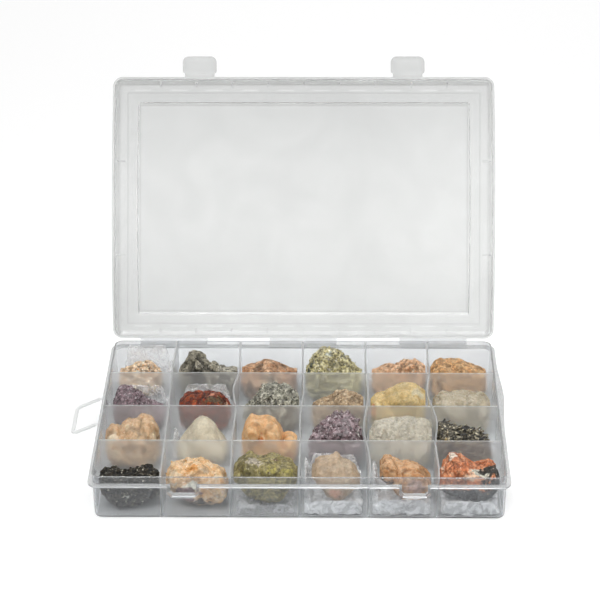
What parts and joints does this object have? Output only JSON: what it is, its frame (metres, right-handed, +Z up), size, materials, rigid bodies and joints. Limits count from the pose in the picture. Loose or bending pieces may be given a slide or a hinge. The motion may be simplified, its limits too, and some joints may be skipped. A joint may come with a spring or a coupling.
{
  "type": "mineral specimen box",
  "caption": "Shallow translucent box divided into a grid of open compartments, each holding a rough stone, with a hinged pan lid, snap latches and a small side bail.",
  "frame": {"origin": "middle of the flat face that the tray stands on", "axes": "+X to the right along the long side, +Y to the back where the lid hinges, +Z up"},
  "size_m": [0.2964, 0.2917, 0.2101],
  "materials": {
    "tray_plastic": "hazy translucent polypropylene",
    "lid_plastic": "hazy translucent polypropylene",
    "calcite_peach": "crusty",
    "grey_green_rock": "rough",
    "epidote": "crystalline",
    "amethyst": "crystalline",
    "red_jasper": "rough",
    "tan_rock": "rough",
    "yellow_calcite": "waxy",
    "pale_crystal": "waxy",
    "dark_rock": "needled",
    "orange_crust": "crusty",
    "prehnite": "botryoidal",
    "pale_peach": "waxy",
    "bag_film": "clear crumpled film"
  },
  "bodies": {
    "tray": {"tray_shell": "tray_plastic", "column_divider_1": "tray_plastic", "column_divider_2": "tray_plastic", "column_divider_3": "tray_plastic", "column_divider_4": "tray_plastic", "column_divider_5": "tray_plastic", "row_divider_rear": "tray_plastic", "row_divider_middle": "tray_plastic", "row_divider_front": "tray_plastic", "catch_left": "tray_plastic", "catch_right": "tray_plastic", "hinge_film_left": "tray_plastic", "hinge_film_centre": "tray_plastic", "hinge_film_right": "tray_plastic", "handle_film_rear": "tray_plastic", "handle_film_front": "tray_plastic"},
    "lid": {"lid_shell": "lid_plastic", "latch_film_left": "lid_plastic", "latch_film_right": "lid_plastic"},
    "latch_left_body": {"latch_left": "lid_plastic"},
    "latch_right_body": {"latch_right": "lid_plastic"},
    "handle": {"carry_handle": "tray_plastic"},
    "stone_1_1": {"specimen_1_1": "calcite_peach", "bag_1_1": "bag_film"},
    "stone_1_2": {"specimen_1_2": "grey_green_rock"},
    "stone_1_3": {"specimen_1_3": "calcite_peach"},
    "stone_1_4": {"specimen_1_4": "epidote"},
    "stone_1_5": {"specimen_1_5": "calcite_peach"},
    "stone_1_6": {"specimen_1_6": "calcite_peach"},
    "stone_2_1": {"specimen_2_1": "amethyst", "bag_2_1": "bag_film"},
    "stone_2_2": {"specimen_2_2": "red_jasper", "bag_2_2": "bag_film"},
    "stone_2_3": {"specimen_2_3": "grey_green_rock"},
    "stone_2_4": {"specimen_2_4": "tan_rock"},
    "stone_2_5": {"specimen_2_5": "yellow_calcite"},
    "stone_2_6": {"specimen_2_6": "pale_crystal"},
    "stone_3_1": {"specimen_3_1": "calcite_peach"},
    "stone_3_2": {"specimen_3_2": "pale_crystal", "bag_3_2": "bag_film"},
    "stone_3_3": {"specimen_3_3": "calcite_peach"},
    "stone_3_4": {"specimen_3_4": "amethyst"},
    "stone_3_5": {"specimen_3_5": "pale_crystal"},
    "stone_3_6": {"specimen_3_6": "dark_rock"},
    "stone_4_1": {"specimen_4_1": "dark_rock"},
    "stone_4_2": {"specimen_4_2": "orange_crust"},
    "stone_4_3": {"specimen_4_3": "prehnite", "bag_4_3": "bag_film"},
    "stone_4_4": {"specimen_4_4": "pale_peach", "bag_4_4": "bag_film"},
    "stone_4_5": {"specimen_4_5": "orange_crust", "bag_4_5": "bag_film"},
    "stone_4_6": {"specimen_4_6": "orange_crust", "bag_4_6": "bag_film"}
  },
  "joints": [
    {"name": "lid_hinge", "type": "hinge", "parent": "tray", "child": "lid", "pos_m": [0, 0.09725, 0.0274], "axis": [-1, 0, 0], "range_deg": [-117.7, 62.3], "deforming": ["hinge_film_left", "hinge_film_centre", "hinge_film_right"]},
    {"name": "latch_left_fold", "type": "hinge", "parent": "lid", "child": "latch_left_body", "pos_m": [-0.075, 0.18745, 0.1978], "axis": [-1, 0, 0], "range_deg": [-90, 60], "deforming": ["latch_film_left"]},
    {"name": "latch_right_fold", "type": "hinge", "parent": "lid", "child": "latch_right_body", "pos_m": [0.075, 0.18745, 0.1978], "axis": [-1, 0, 0], "range_deg": [-90, 60], "deforming": ["latch_film_right"]},
    {"name": "handle_swing", "type": "hinge", "parent": "tray", "child": "handle", "pos_m": [-0.1385, 0.001, 0.0268], "axis": [0, 1, 0], "range_deg": [-66, 114], "deforming": ["handle_film_rear", "handle_film_front"]},
    {"name": "stone_1_1_lift", "type": "slide", "parent": "tray", "child": "stone_1_1", "axis": [0, 0, 1], "range_m": [0, 0.045]},
    {"name": "stone_1_2_lift", "type": "slide", "parent": "tray", "child": "stone_1_2", "axis": [0, 0, 1], "range_m": [0, 0.045]},
    {"name": "stone_1_3_lift", "type": "slide", "parent": "tray", "child": "stone_1_3", "axis": [0, 0, 1], "range_m": [0, 0.045]},
    {"name": "stone_1_4_lift", "type": "slide", "parent": "tray", "child": "stone_1_4", "axis": [0, 0, 1], "range_m": [0, 0.045]},
    {"name": "stone_1_5_lift", "type": "slide", "parent": "tray", "child": "stone_1_5", "axis": [0, 0, 1], "range_m": [0, 0.045]},
    {"name": "stone_1_6_lift", "type": "slide", "parent": "tray", "child": "stone_1_6", "axis": [0, 0, 1], "range_m": [0, 0.045]},
    {"name": "stone_2_1_lift", "type": "slide", "parent": "tray", "child": "stone_2_1", "axis": [0, 0, 1], "range_m": [0, 0.045]},
    {"name": "stone_2_2_lift", "type": "slide", "parent": "tray", "child": "stone_2_2", "axis": [0, 0, 1], "range_m": [0, 0.045]},
    {"name": "stone_2_3_lift", "type": "slide", "parent": "tray", "child": "stone_2_3", "axis": [0, 0, 1], "range_m": [0, 0.045]},
    {"name": "stone_2_4_lift", "type": "slide", "parent": "tray", "child": "stone_2_4", "axis": [0, 0, 1], "range_m": [0, 0.045]},
    {"name": "stone_2_5_lift", "type": "slide", "parent": "tray", "child": "stone_2_5", "axis": [0, 0, 1], "range_m": [0, 0.045]},
    {"name": "stone_2_6_lift", "type": "slide", "parent": "tray", "child": "stone_2_6", "axis": [0, 0, 1], "range_m": [0, 0.045]},
    {"name": "stone_3_1_lift", "type": "slide", "parent": "tray", "child": "stone_3_1", "axis": [0, 0, 1], "range_m": [0, 0.045]},
    {"name": "stone_3_2_lift", "type": "slide", "parent": "tray", "child": "stone_3_2", "axis": [0, 0, 1], "range_m": [0, 0.045]},
    {"name": "stone_3_3_lift", "type": "slide", "parent": "tray", "child": "stone_3_3", "axis": [0, 0, 1], "range_m": [0, 0.045]},
    {"name": "stone_3_4_lift", "type": "slide", "parent": "tray", "child": "stone_3_4", "axis": [0, 0, 1], "range_m": [0, 0.045]},
    {"name": "stone_3_5_lift", "type": "slide", "parent": "tray", "child": "stone_3_5", "axis": [0, 0, 1], "range_m": [0, 0.045]},
    {"name": "stone_3_6_lift", "type": "slide", "parent": "tray", "child": "stone_3_6", "axis": [0, 0, 1], "range_m": [0, 0.045]},
    {"name": "stone_4_1_lift", "type": "slide", "parent": "tray", "child": "stone_4_1", "axis": [0, 0, 1], "range_m": [0, 0.045]},
    {"name": "stone_4_2_lift", "type": "slide", "parent": "tray", "child": "stone_4_2", "axis": [0, 0, 1], "range_m": [0, 0.045]},
    {"name": "stone_4_3_lift", "type": "slide", "parent": "tray", "child": "stone_4_3", "axis": [0, 0, 1], "range_m": [0, 0.045]},
    {"name": "stone_4_4_lift", "type": "slide", "parent": "tray", "child": "stone_4_4", "axis": [0, 0, 1], "range_m": [0, 0.045]},
    {"name": "stone_4_5_lift", "type": "slide", "parent": "tray", "child": "stone_4_5", "axis": [0, 0, 1], "range_m": [0, 0.045]},
    {"name": "stone_4_6_lift", "type": "slide", "parent": "tray", "child": "stone_4_6", "axis": [0, 0, 1], "range_m": [0, 0.045]}
  ]
}
